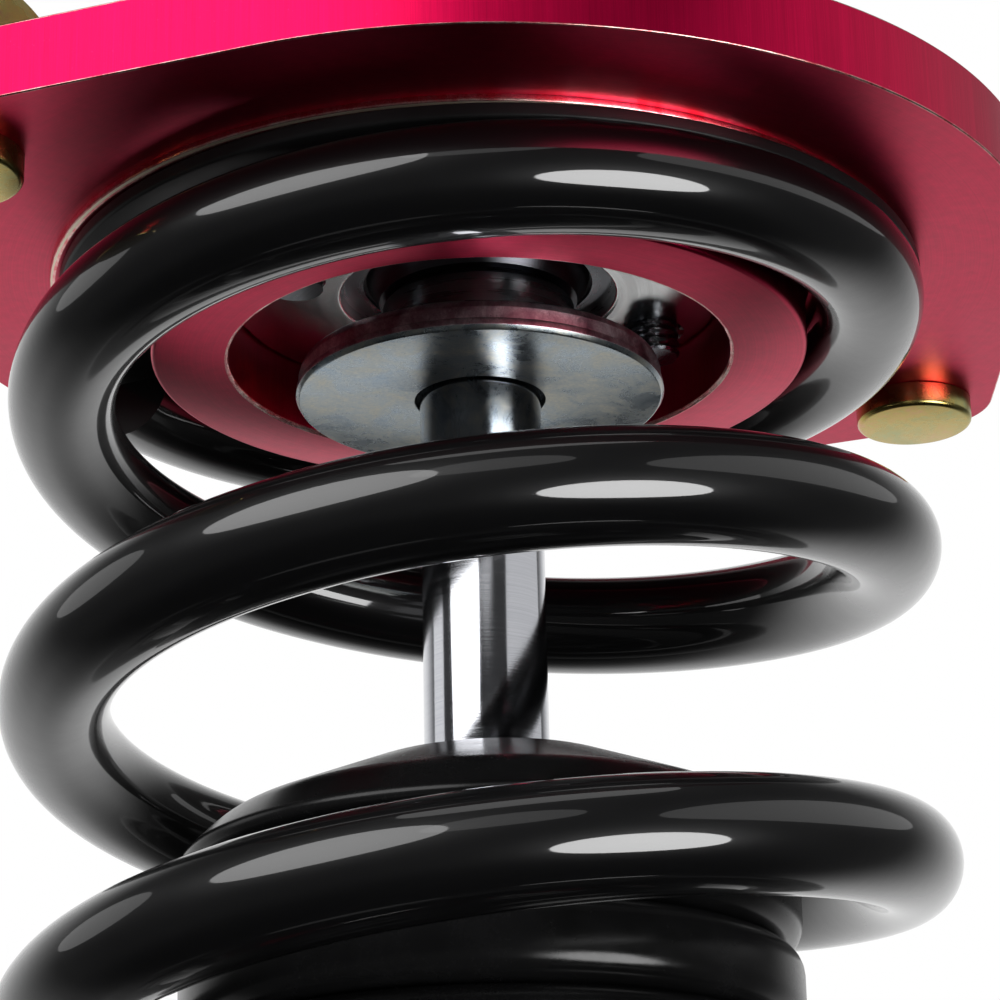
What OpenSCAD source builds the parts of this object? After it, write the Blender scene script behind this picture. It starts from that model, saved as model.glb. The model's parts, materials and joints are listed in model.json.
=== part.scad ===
// Threaded-body coilover with a two-stud spherical-bearing top mount.
// Z is the damper axis, X runs through the two mounting studs, and z = 0 is the
// face of the top plate that seats against the body of the vehicle.

/* [Top mount] */
// Thickness of the top plate
plate_t = 7.5; // [6:0.5:9]
// Radius of the round body of the top plate
plate_r = 58; // [54:1:60]
// Distance between the two mounting studs
stud_spacing = 120; // [116:2:130]
// Radius of the ear around each stud
ear_r = 9; // [8.5:0.5:12]
// Radius of the raised land that carries the spring seat
land_r = 44.5; // [42:0.5:48]
// Height of that land
land_h = 1; // [0.5:0.1:2]
// Outer radius of the boss that centres the spring
boss_r = 34; // [33:0.5:34.5]
// Depth of that boss below the plate
boss_h = 8.3; // [7:0.1:9]
// Radius of the recess inside the boss
recess_r = 26; // [25.5:0.5:28]

/* [Spherical bearing] */
// Radius of the ball
ball_r = 12.5; // [12.5:0.1:13]
// Width of the ball across its two flats
ball_w = 14; // [13:0.5:15]
// Height of the centre of the ball
ball_z = -2; // [-2.5:0.1:-1.5]
// Outer radius of the race
race_r = 15; // [14.5:0.5:16]
// Radius of the circle of the cap screws
cap_screw_circle = 20.9; // [20:0.1:21]

/* [Spring] */
// Mean radius of the coil
coil_r = 41.8; // [41:0.1:42]
// Diameter of the wire
wire_d = 11; // [10:0.5:11.5]
// Free length between the two ground ends
spring_len = 160; // [140:5:180]
// Rise of each full turn in the middle of the spring
coil_pitch = 32.5; // [29:0.5:36]

/* [Damper] */
// Radius of the piston rod
rod_r = 6.25; // [6:0.25:7]
// Outer radius of the threaded body tube
tube_r = 25; // [24.5:0.25:25]
// Inner radius of the body tube
tube_bore_r = 21.5; // [20.5:0.5:22]
// Height of the top of the body tube's gland nut, at full droop
gland_z = -112; // [-116:1:-112]
// Height of the bottom of the body tube
tube_end_z = -276; // [-278:1:-270]
// Outer radius of the dust boot
boot_r = 30.4; // [30:0.2:32]
// Height of the top of the dust boot
boot_z = -60; // [-61:0.5:-60]
// Number of full rings below the domed top of the boot
boot_rings = 7; // [6:1:7]

/* [Lower mount] */
// Height of the centre of the lower eye
eye_z = -318; // [-330:1:-316]
// Radius of the bolt hole in the sleeve of the eye
eye_bolt_r = 6.1; // [5:0.1:8]
// Length of the sleeve of the eye
sleeve_len = 40; // [36:1:46]

/* [Hidden] */
$fn = 96;

running = 0.05;      // radial clearance of a shaft in its bearing
thread_gap = 0.1;    // radial clearance of a ring on the threaded tube
free_gap = 0.3;      // clearance of pieces that only pass each other

red = [0.62, 0.05, 0.12];
black = [0.04, 0.04, 0.045];
raw = [0.72, 0.72, 0.7];
steel = [0.5, 0.5, 0.52];
chrome = [0.8, 0.81, 0.83];
zinc = [0.6, 0.64, 0.66];
gold = [0.72, 0.64, 0.36];
rubber = [0.07, 0.07, 0.07];
ptfe = [0.85, 0.83, 0.75];

underside_z = -plate_t;
land_z = underside_z - land_h;
boss_z = underside_z - boss_h;
housing_z = land_z;               // lower face of the bearing housing
ledge_z = housing_z + 4;          // shoulder that the housing's flange pulls up against
through_r = 24.05;
cap_t = 5;
race_h = 10;
lip_r = race_r - 0.65;

ear_angle = acos((plate_r - ear_r) / (stud_spacing / 2));
stud_r = 4;
stud_collar_r = 4.3;              // ribbed collar pressed into the plate
stud_pitch_r = 3.6;               // thread where the nut holds it, at its pitch radius
stud_top_z = 24;
nut_top_z = 8;
stud_free_z = nut_top_z + 0.4;    // the free thread starts here

seat_ring_t = 1.5;
seat_ring_r = 44.8;
seat_ring_at = [1, -0.7, 0];       // the loose ring has slipped a little to one side
spring_top_z = land_z - seat_ring_t - running;
spring_end_z = spring_top_z - spring_len + 2 * running;

ball_top_z = ball_z + ball_w / 2;
ball_low_z = ball_z - ball_w / 2;
ball_bore_r = 8.5;
spacer_r = 10;
spacer_top_z = ball_top_z + 7;
washer_r = 19.05;
washer_hole_r = 6.72;
washer_t = 3.4;
washer_z = -16.7;                 // upper face of the stop washer
shoulder_z = washer_z - 1.5;      // the rod steps down to its threaded end here
thread_r = 5;
needle_r = 2;

tube_top_z = gland_z - 6;
guide_z = tube_top_z - 8;
guide_end_z = guide_z - 20;
rod_end_z = guide_end_z - 4;
piston_z = rod_end_z - 2;
piston_h = 12;
rod_tip_z = piston_z - piston_h - 11;

stop_top_z = -68;                 // top of the bump stop
boot_dome_h = 11;                 // from the top of the boot to its first groove
boot_ring_h = 8.05;
boot_bore_r = boot_r - 4.2;
boot_cuff_z = boot_z - boot_dome_h - boot_rings * boot_ring_h;

slip_ring_t = 3;
perch_z = spring_end_z - running - slip_ring_t;
perch_h = 16;
lock_h = 10;
bracket_z = -240;                 // open end of the lower bracket
bracket_floor_z = -290;

// The wire starts flat, drops ever faster along the ramp, then rises at a steady pitch.
// The two ends of the spring are the same, turned over.
flat_turn = 95;
ramp_turn = 228;
wire_tip_angle = 120.5;
centre_top_z = spring_top_z - 0.5;
centre_end_z = spring_end_z + 0.5;
full_turn = 2 * flat_turn + ramp_turn + 360 * (centre_top_z - centre_end_z) / coil_pitch;
wire_steps = 220;
wire_sides = 12;

spring_at = [-0.9, 0.6, 0];       // the spring leans on one side of the play round the boss

// Degrees of steady pitch that the first t degrees of wire are worth
function ramp(t) = t <= flat_turn ? 0
    : t >= flat_turn + ramp_turn ? t - flat_turn - ramp_turn / 2
    : pow(t - flat_turn, 2) / (2 * ramp_turn);

function wire_z(t) = t < full_turn / 2
    ? centre_top_z - ramp(t) * coil_pitch / 360
    : centre_end_z + ramp(full_turn - t) * coil_pitch / 360;

// One corner of the wire's section, cut off where the ends of the spring are ground flat
function wire_point(t, side) =
    let (radius = coil_r + wire_d / 2 * cos(side), z = wire_z(t) + wire_d / 2 * sin(side))
    [radius * cos(wire_tip_angle - t), radius * sin(wire_tip_angle - t),
        max(spring_end_z, min(spring_top_z, z))];

module ring(outer, inner, z0, z1) {
    translate([0, 0, min(z0, z1)])
        difference() {
            cylinder(r = outer, h = abs(z1 - z0));
            translate([0, 0, -1]) cylinder(r = inner, h = abs(z1 - z0) + 2);
        }
}

module rod(radius, z0, z1) {
    translate([0, 0, min(z0, z1)]) cylinder(r = radius, h = abs(z1 - z0));
}

module hexagon(across_flats, z0, z1) {
    translate([0, 0, z0]) cylinder(r = across_flats / 2 / cos(30), h = z1 - z0, $fn = 6);
}

module around(count, radius, start = 0) {
    for (i = [0 : count - 1])
        rotate([0, 0, start + i * 360 / count]) translate([radius, 0, 0]) children();
}

// A ring on the thread of the tube, with notches for a hook spanner
module spanner_ring(outer, z0, z1, notches) {
    difference() {
        ring(outer, tube_r + thread_gap, z0, z1);
        around(notches, outer) translate([0, 0, (z0 + z1) / 2])
            cube([8, 7, abs(z1 - z0) + 2], center = true);
    }
}

// Points of an arc about (x, 0)
function arc(radius, x, from, to, steps) = [for (i = [0 : steps])
    let (a = from + (to - from) * i / steps) [x + radius * cos(a), radius * sin(a)]];

// The round body runs straight into the two ears
module plate_outline() {
    x = stud_spacing / 2;
    a = ear_angle;
    polygon(concat(
        arc(ear_r, x, -a, a, 14), arc(plate_r, 0, a, 180 - a, 40),
        arc(ear_r, -x, 180 - a, 180 + a, 14), arc(plate_r, 0, 180 + a, 360 - a, 40)));
}

module top_plate() {
    color(red) difference() {
        union() {
            translate([0, 0, underside_z]) linear_extrude(plate_t) plate_outline();
            rod(land_r, land_z, underside_z);
            rod(boss_r, boss_z, land_z);
        }
        rod(recess_r, boss_z - 1, ledge_z);
        rod(through_r, ledge_z - 1, 1);
        around(2, stud_spacing / 2) rod(stud_collar_r, underside_z - 1, 1);
    }
}

module bearing_housing() {
    color(raw) difference() {
        union() {
            rod(recess_r - 0.1, housing_z, ledge_z);
            rod(through_r - running, ledge_z, -0.2);
        }
        rod(lip_r, housing_z - 1, 1);
        rod(race_r, ball_z - race_h / 2, 1);
        around(4, cap_screw_circle, -6.5) rod(3, housing_z - 1, 1);
    }
}

module bearing_cap() {
    color(raw) difference() {
        rod(31, 0, cap_t);
        rod(race_r, -1, ball_z + race_h / 2);
        rod(13.6, -1, cap_t + 1);
        around(4, cap_screw_circle, -6.5) rod(3.2, -1, cap_t + 1);
    }
}

module cap_screws() {
    color(steel) around(4, cap_screw_circle, -6.5) {
        rod(3, housing_z - 3, cap_t);
        difference() {
            rod(5, cap_t, cap_t + 4);
            hexagon(4, cap_t + 1.5, cap_t + 5);
        }
    }
}

module bearing_race() {
    color(steel) difference() {
        rod(race_r, ball_z - race_h / 2, ball_z + race_h / 2);
        translate([0, 0, ball_z]) sphere(r = ball_r + 0.5);
    }
}

module bearing_liner() {
    color(ptfe) intersection() {
        translate([0, 0, ball_z]) difference() {
            sphere(r = ball_r + 0.5 - running);
            sphere(r = ball_r + running);
        }
        rod(race_r, ball_z - 4.5, ball_z + 4.5);
    }
}

module pillow_ball() {
    color(chrome) difference() {
        intersection() {
            translate([0, 0, ball_z]) sphere(r = ball_r);
            rod(ball_r + 1, ball_low_z, ball_top_z);
        }
        rod(ball_bore_r, ball_low_z - 1, ball_top_z + 1);
    }
}

module mount_studs() {
    color(gold) around(2, stud_spacing / 2) {
        rod(6.5, underside_z - 2.8, underside_z);
        rod(stud_collar_r, underside_z, 0);
        rod(stud_pitch_r, 0, stud_free_z);
        rod(stud_r, stud_free_z, stud_top_z);
    }
}

module stud_nuts() {
    color(gold) around(2, stud_spacing / 2) difference() {
        union() {
            rod(8.2, 0, 1.6);
            hexagon(13, 1.6, nut_top_z);
        }
        rod(stud_pitch_r, -1, nut_top_z + 1);
    }
}

module upper_seat_ring() {
    color(black) translate(seat_ring_at)
        ring(seat_ring_r, boss_r + 1.4, land_z - seat_ring_t, land_z);
}

module upper_spacer() {
    color(steel) difference() {
        union() {
            rod(spacer_r, ball_top_z, spacer_top_z);
            rod(ball_bore_r - running, ball_z + 0.5, ball_top_z);
        }
        rod(thread_r, ball_z, spacer_top_z + 1);
    }
}

module lower_spacer() {
    color(steel) difference() {
        union() {
            rod(spacer_r, washer_z, ball_low_z);
            rod(ball_bore_r - running, ball_low_z, ball_z - 0.5);
            rod(washer_hole_r, shoulder_z, washer_z);
        }
        rod(thread_r, shoulder_z - 1, ball_z);
    }
}

module rod_nut() {
    color(zinc) difference() {
        union() {
            rod(10.5, spacer_top_z, spacer_top_z + 1.6);
            hexagon(17, spacer_top_z + 1.6, spacer_top_z + 8);
            rod(7.6, spacer_top_z + 8, spacer_top_z + 10);
        }
        rod(thread_r, spacer_top_z - 1, spacer_top_z + 11);
    }
}

module stop_washer() {
    color(zinc) ring(washer_r, washer_hole_r, washer_z - washer_t, washer_z);
}

module piston_rod() {
    color(chrome) difference() {
        union() {
            rod(thread_r, shoulder_z, spacer_top_z + 12);
            rod(rod_r, rod_end_z, shoulder_z);
            rod(thread_r, rod_tip_z, rod_end_z);
        }
        rod(needle_r + thread_gap, piston_z, spacer_top_z + 13);
    }
}

module rebound_shims() {
    color(steel) {
        ring(16, thread_r, piston_z, piston_z + 1);
        ring(12, thread_r, piston_z + 1, rod_end_z);
    }
}

module piston() {
    color(raw) difference() {
        ring(tube_bore_r - free_gap, thread_r, piston_z - piston_h, piston_z);
        ring(tube_bore_r + 1, tube_bore_r - 1.3, piston_z - 9, piston_z - 3);
        around(6, 13.5) rod(1.8, piston_z - piston_h - 1, piston_z + 1);
    }
}

module piston_band() {
    color(ptfe) ring(tube_bore_r - running, tube_bore_r - 1.3, piston_z - 9, piston_z - 3);
}

module compression_shims() {
    color(steel) {
        ring(16, thread_r, piston_z - piston_h - 1, piston_z - piston_h);
        ring(12, thread_r, piston_z - piston_h - 2, piston_z - piston_h - 1);
    }
}

module piston_nut() {
    color(steel) difference() {
        hexagon(16, piston_z - piston_h - 10, piston_z - piston_h - 2);
        rod(thread_r, piston_z - piston_h - 11, piston_z);
    }
}

module coil_spring() {
    color(black) translate(spring_at) polyhedron(
        points = [for (i = [0 : wire_steps], k = [0 : wire_sides - 1])
            wire_point(full_turn * i / wire_steps, 360 * (k + 0.5) / wire_sides)],
        faces = concat(
            [[for (k = [0 : wire_sides - 1]) k]],
            [[for (k = [wire_sides - 1 : -1 : 0]) wire_steps * wire_sides + k]],
            [for (i = [0 : wire_steps - 1], k = [0 : wire_sides - 1])
                let (a = i * wire_sides, n = (k + 1) % wire_sides)
                [a + k, a + wire_sides + k, a + wire_sides + n, a + n]]));
}

module adjuster_knob() {
    color(red) difference() {
        rod(8, spacer_top_z + 12 + free_gap, spacer_top_z + 22);
        around(12, 8.6) rod(1.3, spacer_top_z + 14, spacer_top_z + 23);
        rod(needle_r, spacer_top_z + 12, spacer_top_z + 18);
    }
}

module adjuster_needle() {
    color(steel) rod(needle_r, piston_z + 4, spacer_top_z + 18);
}

module gland_nut() {
    color(red) difference() {
        union() {
            rod(tube_r, tube_top_z, gland_z);
            rod(tube_bore_r, guide_z, tube_top_z);
        }
        rod(rod_r + running, guide_z - 1, gland_z + 1);
        rod(10, gland_z - 4, gland_z + 1);
        around(4, 17.5) rod(2.5, gland_z - 4, gland_z + 1);
    }
}

module wiper_seal() {
    color(rubber) ring(10, rod_r + running, gland_z - 4, gland_z);
}

module rod_guide() {
    color(raw) difference() {
        ring(tube_bore_r, 8, guide_end_z, guide_z);
        rod(11, guide_z - 5, guide_z + 1);
        ring(tube_bore_r + 1, tube_bore_r - 1.6, guide_z - 12, guide_z - 9);
    }
}

module rod_seal() {
    color(rubber) ring(11, rod_r + running, guide_z - 5, guide_z);
}

module guide_bush() {
    color(gold) ring(8, rod_r + running, guide_end_z, guide_z - 5);
}

module o_ring(z) {
    color(rubber) translate([0, 0, z]) rotate_extrude()
        translate([tube_bore_r - 0.85, 0]) circle(r = 0.7);
}

module guide_o_ring() {
    o_ring(guide_z - 10.5);
}

module damper_tube() {
    color(raw) ring(tube_r, tube_bore_r, tube_end_z, tube_top_z);
}

module end_plug() {
    color(raw) difference() {
        rod(tube_bore_r, tube_end_z, tube_end_z + 14);
        rod(3, tube_end_z - 1, tube_end_z + 15);
    }
}

module fill_screw() {
    color(steel) difference() {
        rod(3, tube_end_z, tube_end_z + 9);
        hexagon(3, tube_end_z - 1, tube_end_z + 3);
    }
}

// Three rounded lobes of foam around the rod
module bump_stop() {
    lobe_h = (stop_top_z - gland_z) / 3;
    color(ptfe) difference() {
        for (i = [0 : 2]) {
            rod(15, gland_z + i * lobe_h, gland_z + (i + 1) * lobe_h);
            rod(18, gland_z + i * lobe_h + 2, gland_z + (i + 1) * lobe_h - 2);
        }
        rod(rod_r + 0.5, gland_z - 1, stop_top_z + 1);
    }
}

// Outline of one ring of the boot, which bulges between two grooves
function boot_ring(middle_z) = concat(
    [for (p = arc(2.7, boot_r - 2.7, 80, 0, 4)) p + [0, middle_z + 1.3]],
    [for (p = arc(2.7, boot_r - 2.7, 0, -80, 4)) p + [0, middle_z - 1.3]]);

// Bellows with a shallow dome on top, which the rod passes through, and a cuff on the tube
module dust_boot() {
    dome = [[8, 0], [12, -0.2], [boot_r - 14.4, -1.4], [boot_r - 10.4, -2.8],
        [boot_r - 6.4, -4.55], [boot_r - 4.4, -5.55], [boot_r - 2.4, -6.9],
        [boot_r - 0.9, -8.1], [boot_r - 0.2, -8.7], [boot_r, -9.4],
        [boot_r - 0.5, -10.3], [boot_r - 1.5, -10.8], [boot_r - 2.5, -11]];
    rings = [for (i = [0 : boot_rings - 1])
        each boot_ring(boot_z - boot_dome_h - (i + 0.5) * boot_ring_h)];
    cuff = [[tube_r + 2.2, boot_cuff_z - 1], [tube_r + 2.2, boot_cuff_z - 12],
        [tube_r, boot_cuff_z - 12], [tube_r, boot_cuff_z], [boot_bore_r, boot_cuff_z]];
    inside = [[boot_bore_r, boot_z - 8.8], [boot_bore_r - 6.2, boot_z - 5.4],
        [12, boot_z - 2.6], [8, boot_z - 2.4]];
    color(rubber) rotate_extrude()
        polygon(concat([for (p = dome) p + [0, boot_z]], rings, cuff, inside));
}

module floating_piston() {
    top_z = -236;
    color(raw) difference() {
        rod(tube_bore_r - running, top_z - 12, top_z);
        ring(tube_bore_r + 1, tube_bore_r - 1.6, top_z - 7.5, top_z - 4.5);
        rod(14, top_z - 13, top_z - 4);
    }
}

module floating_o_ring() {
    o_ring(-242);
}

module lower_slip_ring() {
    color(black) ring(46, 34.6, perch_z, perch_z + slip_ring_t);
}

module lower_perch() {
    color(red) {
        difference() {
            union() {
                rod(46, perch_z - 5, perch_z);
                rod(38, perch_z - perch_h, perch_z - 5);
                rod(34.6 - free_gap, perch_z, perch_z + slip_ring_t + 6);
            }
            rod(tube_r + thread_gap, perch_z - perch_h - 1, perch_z + slip_ring_t + 7);
            around(8, 38) translate([0, 0, perch_z - perch_h])
                cube([8, 7, 20], center = true);
        }
    }
}

module perch_lock_ring() {
    z = perch_z - perch_h - free_gap;
    color(red) spanner_ring(36, z - lock_h, z, 8);
}

module bracket_lock_ring() {
    z = bracket_z + free_gap;
    color(red) spanner_ring(36, z, z + lock_h, 8);
}

module lower_bracket() {
    eye_r = 22;
    color(red) difference() {
        union() {
            rod(31, bracket_floor_z - 8, bracket_z);
            translate([0, 16, 0]) rotate([90, 0, 0]) linear_extrude(32)
                polygon([[-26, bracket_floor_z - 8], [26, bracket_floor_z - 8],
                    [eye_r, eye_z], [-eye_r, eye_z]]);
            translate([0, 16, eye_z]) rotate([90, 0, 0]) cylinder(r = eye_r, h = 32);
        }
        rod(tube_r + thread_gap, bracket_floor_z, bracket_z + 1);
        translate([0, 17, eye_z]) rotate([90, 0, 0]) cylinder(r = 17, h = 34);
    }
}

module eye_rubber() {
    color(rubber) translate([0, 17, eye_z]) rotate([90, 0, 0])
        ring(17, 10 + running, 0, 34);
}

module eye_sleeve() {
    color(zinc) translate([0, sleeve_len / 2, eye_z]) rotate([90, 0, 0])
        ring(10, eye_bolt_r, 0, sleeve_len);
}

top_plate();
bearing_housing();
bearing_cap();
cap_screws();
bearing_race();
mount_studs();
stud_nuts();
upper_seat_ring();
bearing_liner();
pillow_ball();
upper_spacer();
lower_spacer();
rod_nut();
stop_washer();
piston_rod();
rebound_shims();
piston();
piston_band();
compression_shims();
piston_nut();
coil_spring();
adjuster_knob();
adjuster_needle();
gland_nut();
wiper_seal();
rod_seal();
rod_guide();
guide_bush();
guide_o_ring();
damper_tube();
end_plug();
fill_screw();
bump_stop();
dust_boot();
floating_piston();
floating_o_ring();
lower_slip_ring();
lower_perch();
perch_lock_ring();
bracket_lock_ring();
lower_bracket();
eye_rubber();
eye_sleeve();
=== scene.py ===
"""Looks of the coilover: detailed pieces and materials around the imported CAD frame."""
import json
import math

import bmesh
import bpy
from mathutils import Matrix, Vector


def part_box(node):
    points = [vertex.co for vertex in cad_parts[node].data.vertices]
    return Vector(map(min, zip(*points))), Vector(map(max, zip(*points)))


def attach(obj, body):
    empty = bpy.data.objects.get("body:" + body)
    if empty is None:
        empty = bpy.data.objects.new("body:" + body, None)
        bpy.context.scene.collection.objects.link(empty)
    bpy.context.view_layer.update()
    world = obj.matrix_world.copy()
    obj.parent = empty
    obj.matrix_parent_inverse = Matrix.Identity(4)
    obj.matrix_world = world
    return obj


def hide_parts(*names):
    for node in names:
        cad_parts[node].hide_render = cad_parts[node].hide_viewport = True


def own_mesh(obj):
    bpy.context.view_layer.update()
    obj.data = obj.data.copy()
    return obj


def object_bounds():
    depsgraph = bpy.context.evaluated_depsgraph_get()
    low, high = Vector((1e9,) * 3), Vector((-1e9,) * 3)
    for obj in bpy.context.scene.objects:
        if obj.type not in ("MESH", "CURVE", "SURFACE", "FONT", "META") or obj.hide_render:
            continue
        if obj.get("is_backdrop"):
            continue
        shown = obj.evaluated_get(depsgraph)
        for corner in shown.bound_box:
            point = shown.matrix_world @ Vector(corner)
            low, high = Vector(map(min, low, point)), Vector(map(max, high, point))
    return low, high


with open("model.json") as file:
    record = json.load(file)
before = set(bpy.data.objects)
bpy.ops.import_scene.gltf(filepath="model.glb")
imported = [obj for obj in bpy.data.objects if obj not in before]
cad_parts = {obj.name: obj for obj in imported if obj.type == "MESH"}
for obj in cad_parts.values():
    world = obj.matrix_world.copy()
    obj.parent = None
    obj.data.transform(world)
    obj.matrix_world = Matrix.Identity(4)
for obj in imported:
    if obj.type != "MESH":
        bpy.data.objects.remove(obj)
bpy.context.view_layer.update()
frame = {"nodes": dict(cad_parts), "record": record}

MM = 0.001

# ---------------------------------------------------------------- sizes from the frame


def low(node):
    """Lowest height of a CAD node, in millimetres."""
    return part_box(node)[0].z / MM


def high(node):
    """Highest height of a CAD node, in millimetres."""
    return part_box(node)[1].z / MM


def reach(node):
    """Outer radius of a CAD node that stands on the damper axis, in millimetres."""
    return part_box(node)[1].y / MM


BOSS_DEPTH = 8.3        # from the plate's lower face to the end of its boss
PLATE_UNDER = low("top_plate") + BOSS_DEPTH
LAND_Z = high("upper_seat_ring")        # face that the seat ring lies on
LAND_R = 44.5           # rim of the raised land that carries this face
STUD_X = 60.0           # the two studs stand at x = +-60
SCREW_CIRCLE = 20.9     # distance of the four cap screws from the axis
SCREW_START = -6.5      # direction of the first of them, in degrees
BALL_Z = (low("pillow_ball") + high("pillow_ball")) / 2
BALL_R = 12.5
ROD_R = 6.25
ROD_BORE_R = 2.1        # the adjuster's needle runs in it
CLAMP_R = 5.0           # the rod's upper end, where the nut clamps the ball and washer
TUBE_R = reach("damper_tube")
TUBE_BORE_R = 21.5
THREAD_PITCH = 2.0      # outside thread of the damper tube
BOOT_RINGS = 7
BOOT_DOME = 11.0        # height of the boot above its first groove
COIL_R = 41.8           # from the spring's axis to the middle of its wire
WIRE_D = 11.0
WIRE_PITCH = 32.5       # rise of a full turn between the closed ends
WIRE_FLAT = 95          # degrees at each end that don't rise
WIRE_RAMP = 228         # degrees over which the rise then grows to the full pitch
WIRE_TIP = 120.5        # direction of the wire's upper end, in degrees
EYE_Z = (low("eye_sleeve") + high("eye_sleeve")) / 2
CUP_DEPTH = 50.0        # bore of the lower bracket that takes the tube
FLOOR_GAP = 0.0005      # keeps the floor just clear of the part, in metres

# ---------------------------------------------------------------- mesh tools


def make_object(name, bm, sharp=32):
    """A shaded object from a bmesh, with edges over sharp degrees left sharp."""
    bmesh.ops.remove_doubles(bm, verts=bm.verts, dist=1e-7)
    bmesh.ops.dissolve_degenerate(bm, edges=bm.edges, dist=1e-8)
    bmesh.ops.recalc_face_normals(bm, faces=bm.faces)
    mesh = bpy.data.meshes.new(name)
    bm.to_mesh(mesh)
    bm.free()
    mesh.polygons.foreach_set("use_smooth", [True] * len(mesh.polygons))
    mesh.set_sharp_from_angle(angle=math.radians(sharp))
    made = bpy.data.objects.new(name, mesh)
    bpy.context.scene.collection.objects.link(made)
    return made


def fillet(corners, steps=4):
    """A closed outline whose corners (x, y, radius) are rounded; radius may be left out."""
    out = []
    count = len(corners)
    for i, corner in enumerate(corners):
        here = Vector(corner[:2])
        radius = corner[2] if len(corner) > 2 else 0
        if not radius:
            out.append(here)
            continue
        before = (Vector(corners[i - 1][:2]) - here).normalized()
        after = (Vector(corners[(i + 1) % count][:2]) - here).normalized()
        half = before.angle(after) / 2
        cut = radius / math.tan(half)
        centre = here + (before + after).normalized() * (radius / math.sin(half))
        start, end = here + before * cut - centre, here + after * cut - centre
        for k in range(steps + 1):
            out.append(centre + start.normalized().slerp(end.normalized(), k / steps) * radius)
    return [(p.x, p.y) for p in out]


def revolve(bm, outline, segments=144, place=Matrix.Identity(4)):
    """Adds a closed outline of (radius, height) in millimetres, turned about the local Z.

    The outline is a list, or a function that gives the list for each angle in radians."""
    rings = []
    for i in range(segments):
        a = 2 * math.pi * i / segments
        corners = outline(a) if callable(outline) else outline
        rings.append([bm.verts.new(place @ Vector((r * math.cos(a), r * math.sin(a), z)) * MM)
                      for r, z in corners])
    size = len(rings[0])
    for i in range(segments):
        one, two = rings[i], rings[(i + 1) % segments]
        for k in range(size):
            n = (k + 1) % size
            bm.faces.new((one[k], two[k], two[n], one[n]))


def lathe(name, corners, segments=144, steps=4, place=Matrix.Identity(4)):
    """A turned piece, from an outline with the corners that fillet takes."""
    bm = bmesh.new()
    revolve(bm, fillet(corners, steps), segments, place)
    return make_object(name, bm)


def block(name, outline, z0, z1, place=Matrix.Identity(4)):
    """A straight block with that outline between two heights."""
    bm = bmesh.new()
    size = len(outline)
    lower = [bm.verts.new(place @ Vector((x, y, z0)) * MM) for x, y in outline]
    upper = [bm.verts.new(place @ Vector((x, y, z1)) * MM) for x, y in outline]
    bm.faces.new(lower[::-1])
    bm.faces.new(upper)
    for i in range(size):
        k = (i + 1) % size
        bm.faces.new((lower[i], lower[k], upper[k], upper[i]))
    return make_object(name, bm)


def turned(count, radius, start=0.0):
    """Placements of count pieces around the axis, the first of them at start degrees."""
    return [Matrix.Rotation(math.radians(start) + 2 * math.pi * i / count, 4, "Z")
            @ Matrix.Translation((radius, 0, 0)) for i in range(count)]


def carve(target, cutters, operation="DIFFERENCE"):
    """Cuts the cutters out of the target, or joins them to it, and removes them."""
    for cutter in cutters:
        step = target.modifiers.new("carve", "BOOLEAN")
        step.object, step.operation, step.solver = cutter, operation, "EXACT"
        view = bpy.context.evaluated_depsgraph_get()
        solid = bpy.data.meshes.new_from_object(target.evaluated_get(view))
        target.modifiers.remove(step)
        old, target.data = target.data, solid
        solid.name = target.name
        bpy.data.meshes.remove(old)
        bpy.data.meshes.remove(cutter.data)
    bm = bmesh.new()
    bm.from_mesh(target.data)
    bmesh.ops.remove_doubles(bm, verts=bm.verts, dist=2e-6)
    bmesh.ops.dissolve_degenerate(bm, edges=bm.edges, dist=1e-6)
    bm.to_mesh(target.data)
    bm.free()
    target.data.polygons.foreach_set("use_smooth", [True] * len(target.data.polygons))
    target.data.set_sharp_from_angle(angle=math.radians(32))
    return target


def soften(target, width, segments=2, angle=38):
    """Breaks every convex sharp edge; the broken edges take the piece's second material."""
    bm = bmesh.new()
    bm.from_mesh(target.data)
    weight = bm.edges.layers.float.new("bevel_weight_edge")
    for edge in bm.edges:
        if len(edge.link_faces) == 2 and edge.is_convex \
                and edge.calc_face_angle(0) > math.radians(angle):
            edge[weight] = 1.0
    bm.to_mesh(target.data)
    bm.free()
    bevel = target.modifiers.new("soften", "BEVEL")
    bevel.limit_method = "WEIGHT"
    bevel.width = width * MM
    bevel.segments = segments
    bevel.harden_normals = True
    bevel.material = 1
    return target


def thread(bm, major, minor, pitch, z0, z1, segments=72, place=Matrix.Identity(4)):
    """Adds a closed bar with a right-hand thread between two heights, which fades out at its ends."""
    # One turn of the thread, as (share of the pitch, radius).
    section = ((0.0, minor), (0.12, minor), (0.44, major), (0.56, major), (0.88, minor))
    fade = 0.4 * pitch
    turns = int((z1 - z0) / pitch) + 3
    columns = []
    for i in range(segments):
        a = 2 * math.pi * i / segments
        column = []
        for turn in range(-1, turns):
            for share, radius in section:
                z = z0 + pitch * (turn + share + i / segments)
                inside = min(1.0, max(0.0, min(z - z0, z1 - z) / fade))
                r = minor + (radius - minor) * inside
                column.append(bm.verts.new(
                    place @ Vector((r * math.cos(a), r * math.sin(a), min(z1, max(z0, z)))) * MM))
        columns.append(column)
    size = len(columns[0])
    for i in range(segments):
        one, two = columns[i], columns[(i + 1) % segments]
        # The last column joins the first one a turn higher up the helix.
        step = len(section) if i == segments - 1 else 0
        for k in range(size - 1 - step):
            bm.faces.new((one[k], two[k + step], two[k + 1 + step], one[k + 1]))
    bmesh.ops.remove_doubles(bm, verts=bm.verts, dist=1e-7)
    bmesh.ops.dissolve_degenerate(bm, edges=bm.edges, dist=1e-8)
    loose = [e for e in bm.edges if len(e.link_faces) == 1]
    bmesh.ops.holes_fill(bm, edges=loose, sides=0)


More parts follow.
